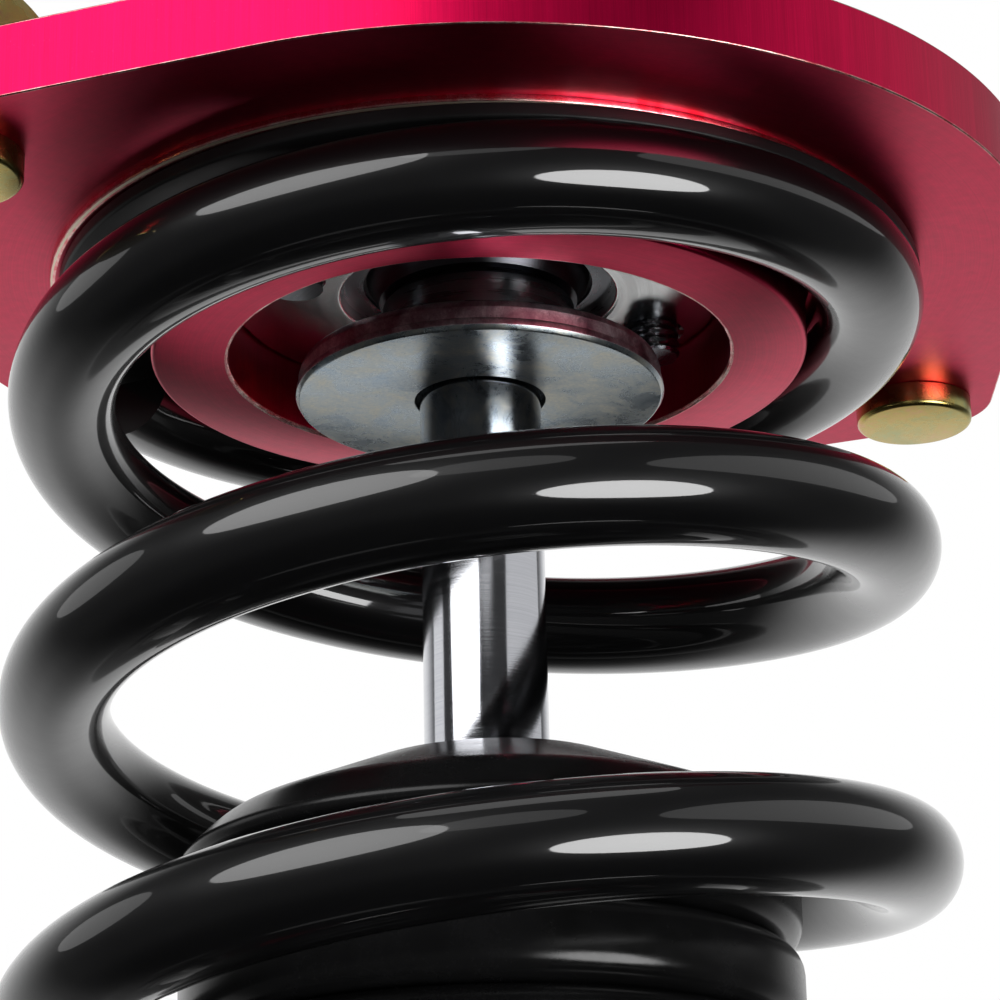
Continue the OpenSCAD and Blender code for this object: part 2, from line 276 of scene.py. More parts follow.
def hex_radius(across, a):
    """Distance from the middle of a hexagon to its outline, in the direction a."""
    sector = math.pi / 3
    return across / 2 / math.cos((a + sector / 2) % sector - sector / 2)


def hexagon(bm, across, z0, z1, hole, place=Matrix.Identity(4), segments=96):
    """Adds a nut with a chamfered hole and chamfered corners."""
    face_r = across / 2 * 0.97      # where the chamfer of the corners begins
    slope = math.tan(math.radians(30))
    mouth = 0.7                     # chamfer of the hole

    def outline(a):
        edge = hex_radius(across, a)
        drop = max(0.0, edge - face_r) * slope
        return [(hole, z0 + mouth), (hole + mouth, z0), (face_r, z0), (edge, z0 + drop),
                (edge, z1 - drop), (face_r, z1), (hole + mouth, z1), (hole, z1 - mouth)]
    revolve(bm, outline, segments, place)


# ---------------------------------------------------------------- materials


class Shader:
    """Builds one material; colours and numbers may be fixed values or other nodes' outputs."""

    def __init__(self, name):
        self.material = bpy.data.materials.new(name)
        self.material.use_nodes = True
        self.tree = self.material.node_tree
        self.principled = self.tree.nodes["Principled BSDF"]
        self.place = self.tree.nodes.new("ShaderNodeTexCoord").outputs["Object"]
        self.normal = None

    def node(self, kind, inputs=(), **settings):
        """A new node with these settings and inputs."""
        made = self.tree.nodes.new(kind)
        for key, value in settings.items():
            setattr(made, key, value)
        for key, value in dict(inputs).items():
            self.give(made.inputs[key], value)
        return made

    def give(self, socket, value):
        """Links another node's output to a socket, or sets the socket to a fixed value."""
        if isinstance(value, bpy.types.NodeSocket):
            self.tree.links.new(value, socket)
        elif isinstance(value, tuple) and len(value) == 3 and socket.type == "RGBA":
            socket.default_value = (*value, 1)
        else:
            socket.default_value = value

    def stretched(self, scale, where=None):
        return self.node("ShaderNodeMapping", {"Vector": where or self.place, "Scale": scale}).outputs[0]

    def noise(self, scale, detail=3.0, roughness=0.5, where=None, distortion=0.0):
        return self.node("ShaderNodeTexNoise", {
            "Vector": where or self.place, "Scale": scale, "Detail": detail,
            "Roughness": roughness, "Distortion": distortion}).outputs["Fac"]

    def cells(self, scale):
        """Distance to the nearest of many scattered points."""
        return self.node("ShaderNodeTexVoronoi", {
            "Vector": self.place, "Scale": scale}).outputs["Distance"]

    def span(self, value, low, high, to_low=0.0, to_high=1.0):
        """Takes the range low to high to another one, and holds the value inside it."""
        return self.node("ShaderNodeMapRange", {
            "Value": value, "From Min": low, "From Max": high,
            "To Min": to_low, "To Max": to_high}).outputs["Result"]

    def math(self, operation, one, two=0.0):
        made = self.node("ShaderNodeMath", operation=operation)
        self.give(made.inputs[0], one)
        self.give(made.inputs[1], two)
        return made.outputs[0]

    def mix(self, share, one, two):
        made = self.node("ShaderNodeMix", data_type="RGBA")
        self.give(made.inputs["Factor"], share)
        self.give(made.inputs[6], one)
        self.give(made.inputs[7], two)
        return made.outputs[2]

    def ramp(self, value, *stops):
        made = self.node("ShaderNodeValToRGB", {"Fac": value})
        elements = made.color_ramp.elements
        while len(elements) < len(stops):
            elements.new(0.5)
        for element, (position, colour) in zip(elements, stops):
            element.position = position
            element.color = (*colour, 1)
        return made.outputs["Color"]

    def axis(self, index, where=None):
        return self.node("ShaderNodeSeparateXYZ", {"Vector": where or self.place}).outputs[index]

    def facing_up(self):
        """How level the surface is: 1 on a flat top or underside, 0 on an upright wall."""
        normal = self.node("ShaderNodeNewGeometry").outputs["Normal"]
        return self.math("ABSOLUTE", self.axis(2, normal))

    def around_axis(self, spread=1.0):
        """Coordinates that are constant along circles around Z: (radius * spread, height)."""
        flat = self.stretched((1, 1, 0))
        radius = self.node("ShaderNodeVectorMath", {0: flat}, operation="LENGTH").outputs["Value"]
        return self.node("ShaderNodeCombineXYZ", {
            "X": self.math("MULTIPLY", radius, spread), "Z": self.axis(2)}).outputs[0]

    def bump(self, height, strength, distance):
        """Adds relief to the surface, over any that is there; distance is in millimetres."""
        inputs = {"Height": height, "Strength": strength, "Distance": distance * MM}
        if self.normal:
            inputs["Normal"] = self.normal
        self.normal = self.node("ShaderNodeBump", inputs).outputs["Normal"]

    def finish(self, **values):
        """Sets the surface's own values, by socket name, and gives the material."""
        for key, value in values.items():
            self.give(self.principled.inputs[key.replace("_", " ")], value)
        if self.normal:
            self.give(self.principled.inputs["Normal"], self.normal)
        return self.material


def anodised(name, deep, bright, roughness=0.34, streak=1.0, wear=0.0):
    """Dyed oxide over machined aluminium: satin, with mill lines on walls and lathe lines on faces."""
    s = Shader(name)
    level = s.facing_up()
    walls = s.noise(9000, 2, 0.6, s.stretched((1, 1, 0.012)))
    broad = s.noise(700, 3, 0.6, s.stretched((1, 1, 0.03)))
    faces = s.noise(5200, 2, 0.5, s.around_axis())
    grain = s.noise(16000, 2, 0.7)
    lines = s.mix(level, walls, faces)
    cloud = s.noise(55, 4, 0.6)
    tone = s.math("ADD", s.math("MULTIPLY", lines, 0.45 * streak), s.math("MULTIPLY", broad, 0.35))
    tone = s.math("ADD", tone, s.math("MULTIPLY", cloud, 0.35))
    colour = s.mix(s.span(tone, 0.32, 0.85), deep, bright)
    specks = s.span(s.noise(2600, 2, 0.9), 0.70, 0.78, 0.0, 0.5)
    colour = s.mix(specks, colour, tuple(min(1.0, c * 1.7 + 0.03) for c in bright))
    if wear:
        worn = s.span(s.noise(420, 5, 0.75), 0.62 - 0.3 * wear, 0.72, 0.0, 1.0)
        colour = s.mix(worn, colour, (0.86, 0.74, 0.66))
    s.bump(lines, 0.22 * streak, 0.02)
    s.bump(grain, 0.16, 0.012)
    rough = s.span(s.math("ADD", grain, s.math("MULTIPLY", cloud, 0.5)), 0.4, 1.1,
                   roughness - 0.06, roughness + 0.10)
    return s.finish(Base_Color=colour, Metallic=1.0, Roughness=rough,
                    Coat_Weight=0.15, Coat_Roughness=0.3, Coat_IOR=1.25)


def bright_metal(name, dark, light, roughness, turned_lines=1.0, cloud_scale=60, mottle=0.5):
    """Turned or ground metal with lathe lines around Z, clouds of tone and fine scratches."""
    s = Shader(name)
    lines = s.noise(7000, 3, 0.6, s.around_axis())
    cloud = s.noise(cloud_scale, 4, 0.65)
    scratch = s.noise(2600, 3, 0.7, s.around_axis(0.25))
    tone = s.math("ADD", s.math("MULTIPLY", lines, 0.4 * turned_lines),
                  s.math("MULTIPLY", cloud, mottle))
    colour = s.mix(s.span(tone, 0.25, 0.75), dark, light)
    s.bump(lines, 0.3 * turned_lines, 0.008)
    s.bump(s.noise(5200, 3, 0.7), 0.12, 0.008)
    rough = s.span(s.math("ADD", scratch, cloud), 0.6, 1.4, roughness - 0.04, roughness + 0.10)
    return s.finish(Base_Color=colour, Metallic=1.0, Roughness=rough)


def zinc_plate(name, one, two, three, roughness, spangle=380):
    """Plated steel: patches of slightly different tint over the rolled surface, with tiny pits."""
    s = Shader(name)
    patches = s.noise(spangle * 0.35, 4, 0.7, distortion=0.5)
    fine = s.noise(spangle * 5, 3, 0.75)
    tone = s.math("ADD", s.math("MULTIPLY", patches, 0.75), s.math("MULTIPLY", fine, 0.3))
    colour = s.ramp(s.span(tone, 0.32, 0.72), (0.0, one), (0.5, two), (1.0, three))
    pits = s.span(s.noise(3800, 2, 0.6), 0.66, 0.75)
    colour = s.mix(s.math("MULTIPLY", pits, 0.55), colour, tuple(c * 0.35 for c in one))
    s.bump(fine, 0.25, 0.02)
    s.bump(pits, -0.3, 0.02)
    rough = s.span(patches, 0.3, 0.7, roughness - 0.07, roughness + 0.10)
    return s.finish(Base_Color=colour, Metallic=1.0, Roughness=rough)


def gloss_black(name, roughness=0.34, base=0.004):
    """Powder coat: deep black under a glossy skin with slight orange peel and dust specks."""
    s = Shader(name)
    peel = s.noise(420, 2, 0.5)
    fine = s.noise(2400, 2, 0.6)
    dust = s.span(s.cells(900), 0.0, 0.055, 1.0, 0.0)
    cloud = s.noise(90, 3, 0.6)
    colour = s.mix(s.math("MULTIPLY", dust, 0.06), (base, base, base * 1.1), (0.35, 0.36, 0.38))
    s.bump(peel, 0.07, 0.25)
    s.bump(fine, 0.03, 0.05)
    rough = s.span(s.math("ADD", cloud, s.math("MULTIPLY", dust, 0.3)), 0.3, 0.8,
                   roughness, roughness + 0.08)
    return s.finish(Base_Color=colour, Roughness=rough, Coat_Weight=1.0, Coat_Roughness=0.04,
                    Coat_IOR=1.55, Specular_IOR_Level=0.2)


def satin_black(name, roughness=0.38, base=0.011, grain_size=2200, specular=0.5):
    """Rubber, nylon or black anodising: fine grain, patchy sheen and a little dust."""
    s = Shader(name)
    grain = s.noise(grain_size, 3, 0.7)
    cloud = s.noise(75, 4, 0.6)
    lines = s.noise(4200, 2, 0.6, s.around_axis())
    dust = s.span(s.noise(1500, 3, 0.85), 0.66, 0.8)
    colour = s.mix(s.span(cloud, 0.3, 0.7), (base, base, base),
                   (base * 2.1, base * 2.1, base * 2.2))
    colour = s.mix(s.math("MULTIPLY", dust, 0.10), colour, (0.22, 0.22, 0.21))
    s.bump(grain, 0.18, 0.03)
    s.bump(lines, 0.10, 0.015)
    rough = s.span(s.math("ADD", cloud, s.math("MULTIPLY", grain, 0.4)), 0.4, 1.0,
                   roughness - 0.07, roughness + 0.10)
    return s.finish(Base_Color=colour, Roughness=rough, Specular_IOR_Level=specular)


def cellular(name, one, two):
    """Moulded cellular polyurethane: waxy, with fine open pores."""
    s = Shader(name)
    pores = s.span(s.cells(1500), 0.10, 0.30, 1.0, 0.0)
    cloud = s.noise(110, 4, 0.6)
    colour = s.mix(s.span(cloud, 0.3, 0.7), one, two)
    colour = s.mix(s.math("MULTIPLY", pores, 0.6), colour, tuple(c * 0.3 for c in one))
    s.bump(pores, -0.5, 0.12)
    s.bump(s.noise(700, 3, 0.6), 0.2, 0.08)
    return s.finish(Base_Color=colour, Roughness=s.span(cloud, 0.3, 0.7, 0.5, 0.7))


RED_DEEP = (0.43, 0.002, 0.042)
RED_BRIGHT = (0.76, 0.003, 0.078)

LOOKS = {
    "red_anodised": anodised("red_anodised", RED_DEEP, RED_BRIGHT, 0.36),
    "raw_aluminium": bright_metal("raw_aluminium", (0.64, 0.64, 0.64), (0.94, 0.94, 0.92), 0.17,
                                  1.0, 70, 0.4),
    "black_seat": satin_black("black_seat", 0.38, 0.006, 3000, 0.2),
    "spring_black": gloss_black("spring_black"),
    "steel": bright_metal("steel", (0.16, 0.17, 0.19), (0.42, 0.43, 0.45), 0.26, 0.9, 90),
    "rod_chrome": bright_metal("rod_chrome", (0.55, 0.56, 0.60), (0.84, 0.85, 0.88), 0.09,
                               0.8, 45, 0.4),
    "zinc_blue": zinc_plate("zinc_blue", (0.19, 0.26, 0.33), (0.38, 0.42, 0.43),
                            (0.64, 0.61, 0.50), 0.28, 640),
    "zinc_gold": zinc_plate("zinc_gold", (0.56, 0.28, 0.18), (0.50, 0.37, 0.10),
                            (0.38, 0.44, 0.20), 0.24, 260),
    "rubber_black": satin_black("rubber_black", 0.22, 0.005, 2200, 0.28),
    "bump_foam": cellular("bump_foam", (0.62, 0.48, 0.16), (0.80, 0.66, 0.28)),
    "ptfe": satin_black("ptfe", 0.5, 0.30, 1200),
    "bronze": bright_metal("bronze", (0.34, 0.22, 0.09), (0.62, 0.45, 0.22), 0.3, 1.0, 80),
    "black_plastic": satin_black("black_plastic", 0.42, 0.016, 1800),
}

# Broken edges, by the material of the piece; the other materials have none of their own.
EDGES = {
    # The red one is also put on the land's low wall, where its lighter pink is a painted highlight.
    "red_anodised": anodised("red_edge_wear_and_painted_highlight", (0.60, 0.06, 0.10), (0.86, 0.30, 0.28), 0.26, 0.5, 0.8),
    "raw_aluminium": bright_metal("aluminium_edge", (0.66, 0.66, 0.65), (0.90, 0.90, 0.88), 0.2),
    "black_seat": satin_black("black_seat_edge", 0.30, 0.012, 3000, 0.4),
    "steel": bright_metal("steel_edge", (0.40, 0.41, 0.43), (0.72, 0.73, 0.75), 0.2),
    "zinc_blue": zinc_plate("zinc_blue_edge", (0.48, 0.52, 0.56), (0.66, 0.70, 0.72),
                            (0.80, 0.80, 0.76), 0.24),
    "zinc_gold": zinc_plate("zinc_gold_edge", (0.60, 0.46, 0.20), (0.80, 0.74, 0.38),
                            (0.72, 0.78, 0.56), 0.22),
}

# The washer's sheared rim, the land's worn rim, and the ball, whose dark colour is painted shade.
STAMPED_SIDE = zinc_plate("stamped_side", (0.26, 0.15, 0.22), (0.52, 0.42, 0.48),
                          (0.95, 0.90, 0.92), 0.36, 900)
BARE_EDGE = bright_metal("bare_edge", (0.80, 0.62, 0.46), (0.98, 0.92, 0.76), 0.36)
BALL_PAINTED_SHADE = bright_metal("ball_painted_dark", (0.07, 0.07, 0.08), (0.16, 0.16, 0.18), 0.3)


def add(made, body, *nodes, slot=None):
    """Puts a finished piece in place of its CAD nodes, on its body and in its material."""
    if slot is None:
        slot = next(part["material_slot"] for part in frame["record"]["subparts"]
                    if part["node"] == nodes[0])
    made.data.materials.clear()
    made.data.materials.append(LOOKS[slot])
    made.data.materials.append(EDGES.get(slot, LOOKS[slot]))
    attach(made, body)
    if nodes:
        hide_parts(*nodes)
    return made


# ---------------------------------------------------------------- top mount


def arc(radius, x, start, stop, steps):
    """Points of an arc between two directions in degrees, around a centre on the X axis."""
    turn = [math.radians(start + (stop - start) * i / steps) for i in range(steps + 1)]
    return [(x + radius * math.cos(a), radius * math.sin(a)) for a in turn]


def top_plate():
    """Round plate with two ears; a land for the spring seat and a boss that centres the spring."""
    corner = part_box("top_plate")[1] / MM
    round_r, ear_r = corner.y, corner.x - STUD_X
    meet = math.degrees(math.acos((round_r - ear_r) / STUD_X))
    outline = (arc(ear_r, STUD_X, -meet, meet, 28) + arc(round_r, 0, meet, 180 - meet, 96)
               + arc(ear_r, -STUD_X, 180 - meet, 180 + meet, 28)
               + arc(round_r, 0, 180 + meet, 360 - meet, 96))
    under, land, boss, ledge = PLATE_UNDER, LAND_Z, low("top_plate"), LAND_Z + 4
    chamfer = 0.4
    plate = block("top_plate_detail", outline, under, 0)
    turned_part = lathe("boss", [
        (20, -4), (43, -4), (LAND_R, under - 0.01), (LAND_R, land + chamfer),
        (LAND_R - chamfer, land), (34.6, land), (34, land - 0.5), (34, boss, 0.5), (20, boss)], 192)
    carve(plate, [turned_part], "UNION")
    bore = lathe("bore", [
        (0, boss - 1), (26.25, boss - 1), (26.25, boss), (26, boss + 0.2), (26, ledge),
        (24.1, ledge), (24.1, 1), (0, 1)], 192)
    holes = [lathe("hole", [(0, -9), (4.9, -9), (4.9, under), (4.3, under + 0.6), (4.3, -0.6),
                            (4.9, 0), (4.9, 1), (0, 1)], 48, place=place)
             for place in turned(2, STUD_X)]
    carve(plate, [bore] + holes)
    soften(plate, 0.32)
    add(plate, "top_mount", "top_plate")
    # The land's rim: its chamfer is worn bare, and its low wall takes the broken edges' lighter pink
    # colour as a painted highlight.
    plate.data.materials.append(BARE_EDGE)
    for face in plate.data.polygons:
        on_rim = LAND_R - 0.5 < face.center.xy.length / MM < LAND_R + 0.02
        if on_rim and face.center.z / MM < under:
            sloping = abs(face.normal.z) > 0.5
            face.material_index = 2 if sloping else 1


def bearing():
    """Housing in the recess of the boss, cap on top of it, race, liner and ball."""
    face, top = LAND_Z, high("bearing_housing")
    housing = lathe("bearing_housing_detail", [
        (14.35, face, 0.4), (25.9, face, 0.5), (25.9, face + 4), (24.0, face + 4),
        (24.0, top, 0.4), (15, top, 0.2), (15, face + 1.5), (14.35, face + 1.5)], 160)
    screw_holes = [lathe("hole", [(0, -12), (3.6, -12), (3.6, face), (3.1, face + 0.5),
                                  (3.1, 1), (0, 1)], 32, place=place)
                   for place in turned(4, SCREW_CIRCLE, SCREW_START)]
    add(carve(housing, screw_holes), "top_mount", "bearing_housing")

    cap_top = high("bearing_cap")
    cap = lathe("bearing_cap_detail", [
        (15.02, 0), (31, 0, 0.4), (31, cap_top, 0.8), (14.6, cap_top), (13.6, cap_top - 1),
        (13.6, cap_top - 2, 0.2), (15.02, cap_top - 2)], 160)
    cap_holes = [lathe("hole", [(0, -1), (3.3, -1), (3.3, cap_top - 0.4), (3.7, cap_top),
                                (3.7, 6), (0, 6)], 32, place=place)
                 for place in turned(4, SCREW_CIRCLE, SCREW_START)]
    add(carve(cap, cap_holes), "top_mount", "bearing_cap")

    def sphere_arc(radius, half, steps=20):
        """Outline of a sphere on the ball's centre, from half above it to half below."""
        edge = math.asin(half / radius)
        return [(radius * math.cos(edge - 2 * edge * i / steps),
                 BALL_Z + radius * math.sin(edge - 2 * edge * i / steps)) for i in range(steps + 1)]

    race_half = (high("bearing_race") - low("bearing_race")) / 2
    race = lathe("bearing_race_detail", [
        (15, BALL_Z - race_half, 0.5), (15, BALL_Z + race_half, 0.5)]
        + sphere_arc(BALL_R + 0.5, race_half), 120)
    add(race, "top_mount", "bearing_race")
    liner_half = (high("bearing_liner") - low("bearing_liner")) / 2
    liner = lathe("bearing_liner_detail", sphere_arc(BALL_R + 0.43, liner_half)[::-1]
                  + sphere_arc(BALL_R + 0.06, liner_half), 120)
    add(liner, "liner", "bearing_liner")
    ball_half = (high("pillow_ball") - low("pillow_ball")) / 2
    ball = lathe("pillow_ball_detail", sphere_arc(BALL_R, ball_half, 28)
                 + [(8.9, BALL_Z - ball_half), (8.5, BALL_Z - ball_half + 0.4),
                    (8.5, BALL_Z + ball_half - 0.4), (8.9, BALL_Z + ball_half)], 120)
    add(ball, "ball", "pillow_ball")
    # The ball's dark metal colour is painted shade.
    ball.data.materials[0] = BALL_PAINTED_SHADE


def cap_screws():
    """Socket screws that hold the cap; their tips stand out of the housing's lower face."""
    tip, head, top = low("cap_screws"), high("bearing_cap"), high("cap_screws")
    plain = LAND_Z + 0.8        # the thread ends here, inside the housing
    key = 4                     # across the flats of the socket
    mouth = key / 2 / math.cos(math.pi / 6) + 0.35

    def knurled_head(a):
        rim = 5 - 0.16 * abs(math.sin(18 * a))
        socket = hex_radius(key, a)
        return [(0, head), (4.84, head), (rim, head + 0.3), (rim, top - 0.8), (4.5, top),
                (mouth, top), (socket, top - 0.5), (socket, top - 2.4), (0, top - 2.9)]
    shank = fillet([(0, plain), (2.98, plain), (2.98, head), (0, head)])
    bm = bmesh.new()
    for place in turned(4, SCREW_CIRCLE, SCREW_START):
        thread(bm, 3.0, 2.72, 1.0, tip, plain, 40, place)
        revolve(bm, shank, 40, place)
        revolve(bm, knurled_head, 144, place)
    add(make_object("cap_screws_detail", bm), "top_mount", "cap_screws")


def studs_and_nuts():
    """Studs with a round head and a ribbed collar pressed into the plate, and their flange nuts."""
    under, top, nut_top = PLATE_UNDER, high("mount_studs"), high("stud_nuts")
    bottom = low("mount_studs")
    head = fillet([(0, bottom), (6.5, bottom, 0.55), (6.5, under, 0.15), (0, under)])

    def collar(a):
        rib = 4.16 + 0.13 * math.cos(24 * a)
        return [(0, under), (rib, under), (rib, -0.4), (3.9, 0), (0, 0)]
    bm = bmesh.new()
    for place in turned(2, STUD_X):
        revolve(bm, head, 72, place)
        revolve(bm, collar, 144, place)
        thread(bm, 4.0, 3.4, 1.25, 0.02, top, 48, place)
    add(make_object("mount_studs_detail", bm), "top_mount", "mount_studs")

    flange = fillet([(4.05, 0, 0.2), (8.2, 0, 0.3), (8.2, 1.1, 0.5), (6.9, 1.75), (4.05, 1.75)])
    bm = bmesh.new()
    for place in turned(2, STUD_X):
        revolve(bm, flange, 72, place)
        hexagon(bm, 13, 1.6, nut_top, 4.02, place)
    add(make_object("stud_nuts_detail", bm), "top_mount", "stud_nuts")


def seat_ring():
    """Thin loose ring under the spring's end, slipped a little to one side."""
    lowest, highest = (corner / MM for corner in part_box("upper_seat_ring"))
    inner, outer, bottom = 35.4, (highest.x - lowest.x) / 2, lowest.z
    centre = Matrix.Translation(((lowest.x + highest.x) / 2, (lowest.y + highest.y) / 2, 0))
    ring = lathe("upper_seat_ring_detail", [
        (inner, bottom, 0.3), (outer, bottom, 0.35), (outer, LAND_Z, 0.25), (inner, LAND_Z, 0.3)],
        192, place=centre)
    add(ring, "top_mount", "upper_seat_ring")


# ---------------------------------------------------------------- rod, stop washer and spring


def rod_stack():
    """Spacers, nut and stop washer clamped on the threaded end of the rod."""
    washer_top, washer_low = high("stop_washer"), low("stop_washer")
    ball_low, ball_top = low("pillow_ball"), high("pillow_ball")
    shoulder, spacer_top = low("lower_spacer"), high("upper_spacer")
    bore, sleeve, collar = CLAMP_R + 0.05, 8.45, 10
    lower = lathe("lower_spacer_detail", [
        (bore, shoulder), (6.72, shoulder), (6.72, washer_top), (collar, washer_top, 0.3),
        (collar, ball_low - 0.9), (9.2, ball_low), (sleeve, ball_low), (sleeve, BALL_Z - 0.5, 0.3),
        (bore, BALL_Z - 0.5)], 96)
    add(lower, "rod", "lower_spacer")
    upper = lathe("upper_spacer_detail", [
        (bore, BALL_Z + 0.5), (sleeve, BALL_Z + 0.5, 0.3), (sleeve, ball_top), (9.2, ball_top),
        (collar, ball_top + 0.9), (collar, spacer_top, 0.4), (bore, spacer_top)], 96)
    add(upper, "rod", "upper_spacer")

    washer = lathe("stop_washer_detail", [
        (6.74, washer_low, 0.12), (18.72, washer_low, 0.22), (19.05, washer_low + 0.5, 0.1),
        (18.98, washer_low + 1.15, 0.05), (18.72, washer_low + 1.3, 0.05),
        (18.78, washer_top - 0.9, 0.3), (18.5, washer_top, 0.5), (6.9, washer_top, 0.15)], 240)
    add(washer, "rod", "stop_washer")
    # The punch left a rough band on the rim, above its rounded lower edge.
    rim_r, band_low = 18, washer_low + 0.45
    washer.data.materials.append(STAMPED_SIDE)
    for face in washer.data.polygons:
        outside = face.center.xy.length > rim_r * MM
        if outside and abs(face.normal.z) < 0.6 and face.center.z > band_low * MM:
            face.material_index = 2

    nut_top, hole = high("rod_nut"), CLAMP_R + 0.02
    bm = bmesh.new()
    revolve(bm, fillet([
        (hole, spacer_top, 0.2), (10.5, spacer_top, 0.3), (10.5, spacer_top + 1.1, 0.5),
        (9.2, spacer_top + 1.75), (hole, spacer_top + 1.75)]), 96)
    hexagon(bm, 17, spacer_top + 1.6, nut_top - 2, hole)
    revolve(bm, fillet([
        (hole, nut_top - 2.4), (7.6, nut_top - 2.4), (7.6, nut_top, 0.8), (5.6, nut_top, 0.3),
        (hole, nut_top - 0.6)]), 96)
    add(make_object("rod_nut_detail", bm), "rod", "rod_nut")


def piston_rod():
    """Ground rod with a threaded clamp end at the top and a plain spigot for the piston."""
    shoulder, top = low("lower_spacer"), high("piston_rod")
    piston_top, tip = high("rebound_shims"), low("piston_rod")
    base = high("rod_nut") - 2      # the part of the thread above this shows over the nut
    clamp = CLAMP_R + 0.04
    rod = lathe("piston_rod_detail", [
        (ROD_BORE_R, tip), (4.7, tip), (5, tip + 0.3), (5, piston_top), (ROD_R, piston_top, 0.3),
        (ROD_R, shoulder, 0.3), (clamp, shoulder), (clamp, base), (ROD_BORE_R, base)], 128)
    add(rod, "rod", "piston_rod")
    bm = bmesh.new()
    thread(bm, CLAMP_R, 4.45, 1.0, base, top, 64)
    end = make_object("piston_rod_end", bm)
    bore = lathe("bore", [
        (0, base - 1), (ROD_BORE_R, base - 1), (ROD_BORE_R, top + 1), (0, top + 1)], 48)
    add(carve(end, [bore]), "rod", slot="rod_chrome")


def helix():
    """Middle of the spring's wire, as (angle in degrees, height in millimetres) from the top.

    Each end lies flat and then runs into an even pitch."""
    sunk = 0.5          # from the ground end faces to the middle of the wire there
    top, bottom = high("coil_spring") - sunk, low("coil_spring") + sunk
    whole = 2 * WIRE_FLAT + WIRE_RAMP + 360 * (top - bottom) / WIRE_PITCH

    def fallen(t):
        """Degrees of full pitch that the wire has dropped, t degrees from its end."""
        if t <= WIRE_FLAT:
            return 0.0
        if t >= WIRE_FLAT + WIRE_RAMP:
            return t - WIRE_FLAT - WIRE_RAMP / 2
        return (t - WIRE_FLAT) ** 2 / (2 * WIRE_RAMP)
    steps = 900
    for i in range(steps + 1):
        t = whole * i / steps
        if t < whole / 2:
            yield t, top - fallen(t) * WIRE_PITCH / 360
        else:
            yield t, bottom + fallen(whole - t) * WIRE_PITCH / 360


def coil_spring():
    """Closed ends ground flat: the wire is clamped between the two end planes."""
    lowest, highest = (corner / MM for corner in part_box("coil_spring"))
    top, bottom = highest.z, lowest.z
    middle_x, middle_y = (lowest.x + highest.x) / 2, (lowest.y + highest.y) / 2
    wire = WIRE_D / 2
    sides = 40
    bm = bmesh.new()
    rings = []
    for t, z in helix():
        a = math.radians(WIRE_TIP - t)
        ring = []
        for k in range(sides):
            b = 2 * math.pi * (k + 0.5) / sides
            r = COIL_R + wire * math.cos(b)
            ring.append(bm.verts.new(Vector((
                middle_x + r * math.cos(a), middle_y + r * math.sin(a),
                max(bottom, min(top, z + wire * math.sin(b))))) * MM))
        rings.append(ring)
    for one, two in zip(rings, rings[1:]):
        for k in range(sides):
            n = (k + 1) % sides
            bm.faces.new((one[k], two[k], two[n], one[n]))
    bm.faces.new(rings[0])
    bm.faces.new(rings[-1][::-1])
    spring = make_object("coil_spring_detail", bm, 28)
    add(spring, "rod", "coil_spring")
    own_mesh(spring)


def adjuster():
    """Fluted knob with a dished and slotted top, on the tip of the rod."""
    bottom, top = low("adjuster_knob"), high("adjuster_knob")

    def fluted(a):
        flute = 0.85 * max(0.0, math.cos(12 * a)) ** 3
        return [(2.0, bottom), (7.3, bottom), (8.0, bottom + 0.6), (8.0, bottom + 1.6),
                (8.0 - flute, bottom + 2.4), (8.0 - flute, top - 1.0), (7.1 - flute * 0.6, top),
                (5.6, top), (5.2, top - 0.5), (0.9, top - 0.5), (0.0, top - 0.9),
                (0.0, top - 3), (2.0, top - 3)]
    bm = bmesh.new()
    revolve(bm, fluted, 216)
    knob = make_object("adjuster_knob_detail", bm)
    slot_cut = block("slot", [(-4.6, -0.5), (4.6, -0.5), (4.6, 0.5), (-4.6, 0.5)],
                     top - 1.3, top + 1)
    add(carve(knob, [slot_cut]), "adjuster", "adjuster_knob")


# ---------------------------------------------------------------- damper


def dust_boot():
    """Moulded bellows: a shallow dome around the rod, rounded rings, and a cuff on the tube."""
    top, end = high("dust_boot"), low("dust_boot")
    ring_r, cuff = reach("dust_boot"), end + 12
    groove_r, bore_r = ring_r - 2.9, ring_r - 4.2
    first = top - BOOT_DOME
    pitch = (first - cuff) / BOOT_RINGS
    outer = [(8, top, 0.8), (12.5, top, 8), (ring_r - 3.6, top - 6, 8), (ring_r, top - 9.4, 1.0),
             (ring_r, first + 0.05, 1.1), (groove_r, first + 0.05)]
    for i in range(BOOT_RINGS):
        z = first - i * pitch
        outer += [(groove_r, z - 0.05), (ring_r, z - 0.05, 2.6), (ring_r, z - pitch + 0.05, 2.6),
                  (groove_r, z - pitch + 0.05)]
    outer += [(groove_r, cuff - 1), (TUBE_R + 2.2, cuff - 1, 0.6), (TUBE_R + 2.2, end, 0.8),
              (TUBE_R + 0.05, end), (TUBE_R + 0.05, cuff)]
    inner = [(bore_r, cuff), (bore_r, top - 8.8, 3), (12, top - 2.6, 3), (8, top - 2.4, 0.8)]
    boot = lathe("dust_boot_detail", outer + inner, 168, 6)
    # The dome stands a little higher on one side; the rise fades out below it.
    side_x, side_y = 0.82, -0.57
    slope, blend, below = 0.035, 8 * MM, 0.35
    for vert in boot.data.vertices:
        across = vert.co.x * side_x + vert.co.y * side_y
        rise = slope * (across + math.hypot(across, blend)) / 2
        share = (vert.co.z / MM - first) / BOOT_DOME + below
        vert.co.z += rise * max(0.0, min(1.0, share))
    add(boot, "damper", "dust_boot")


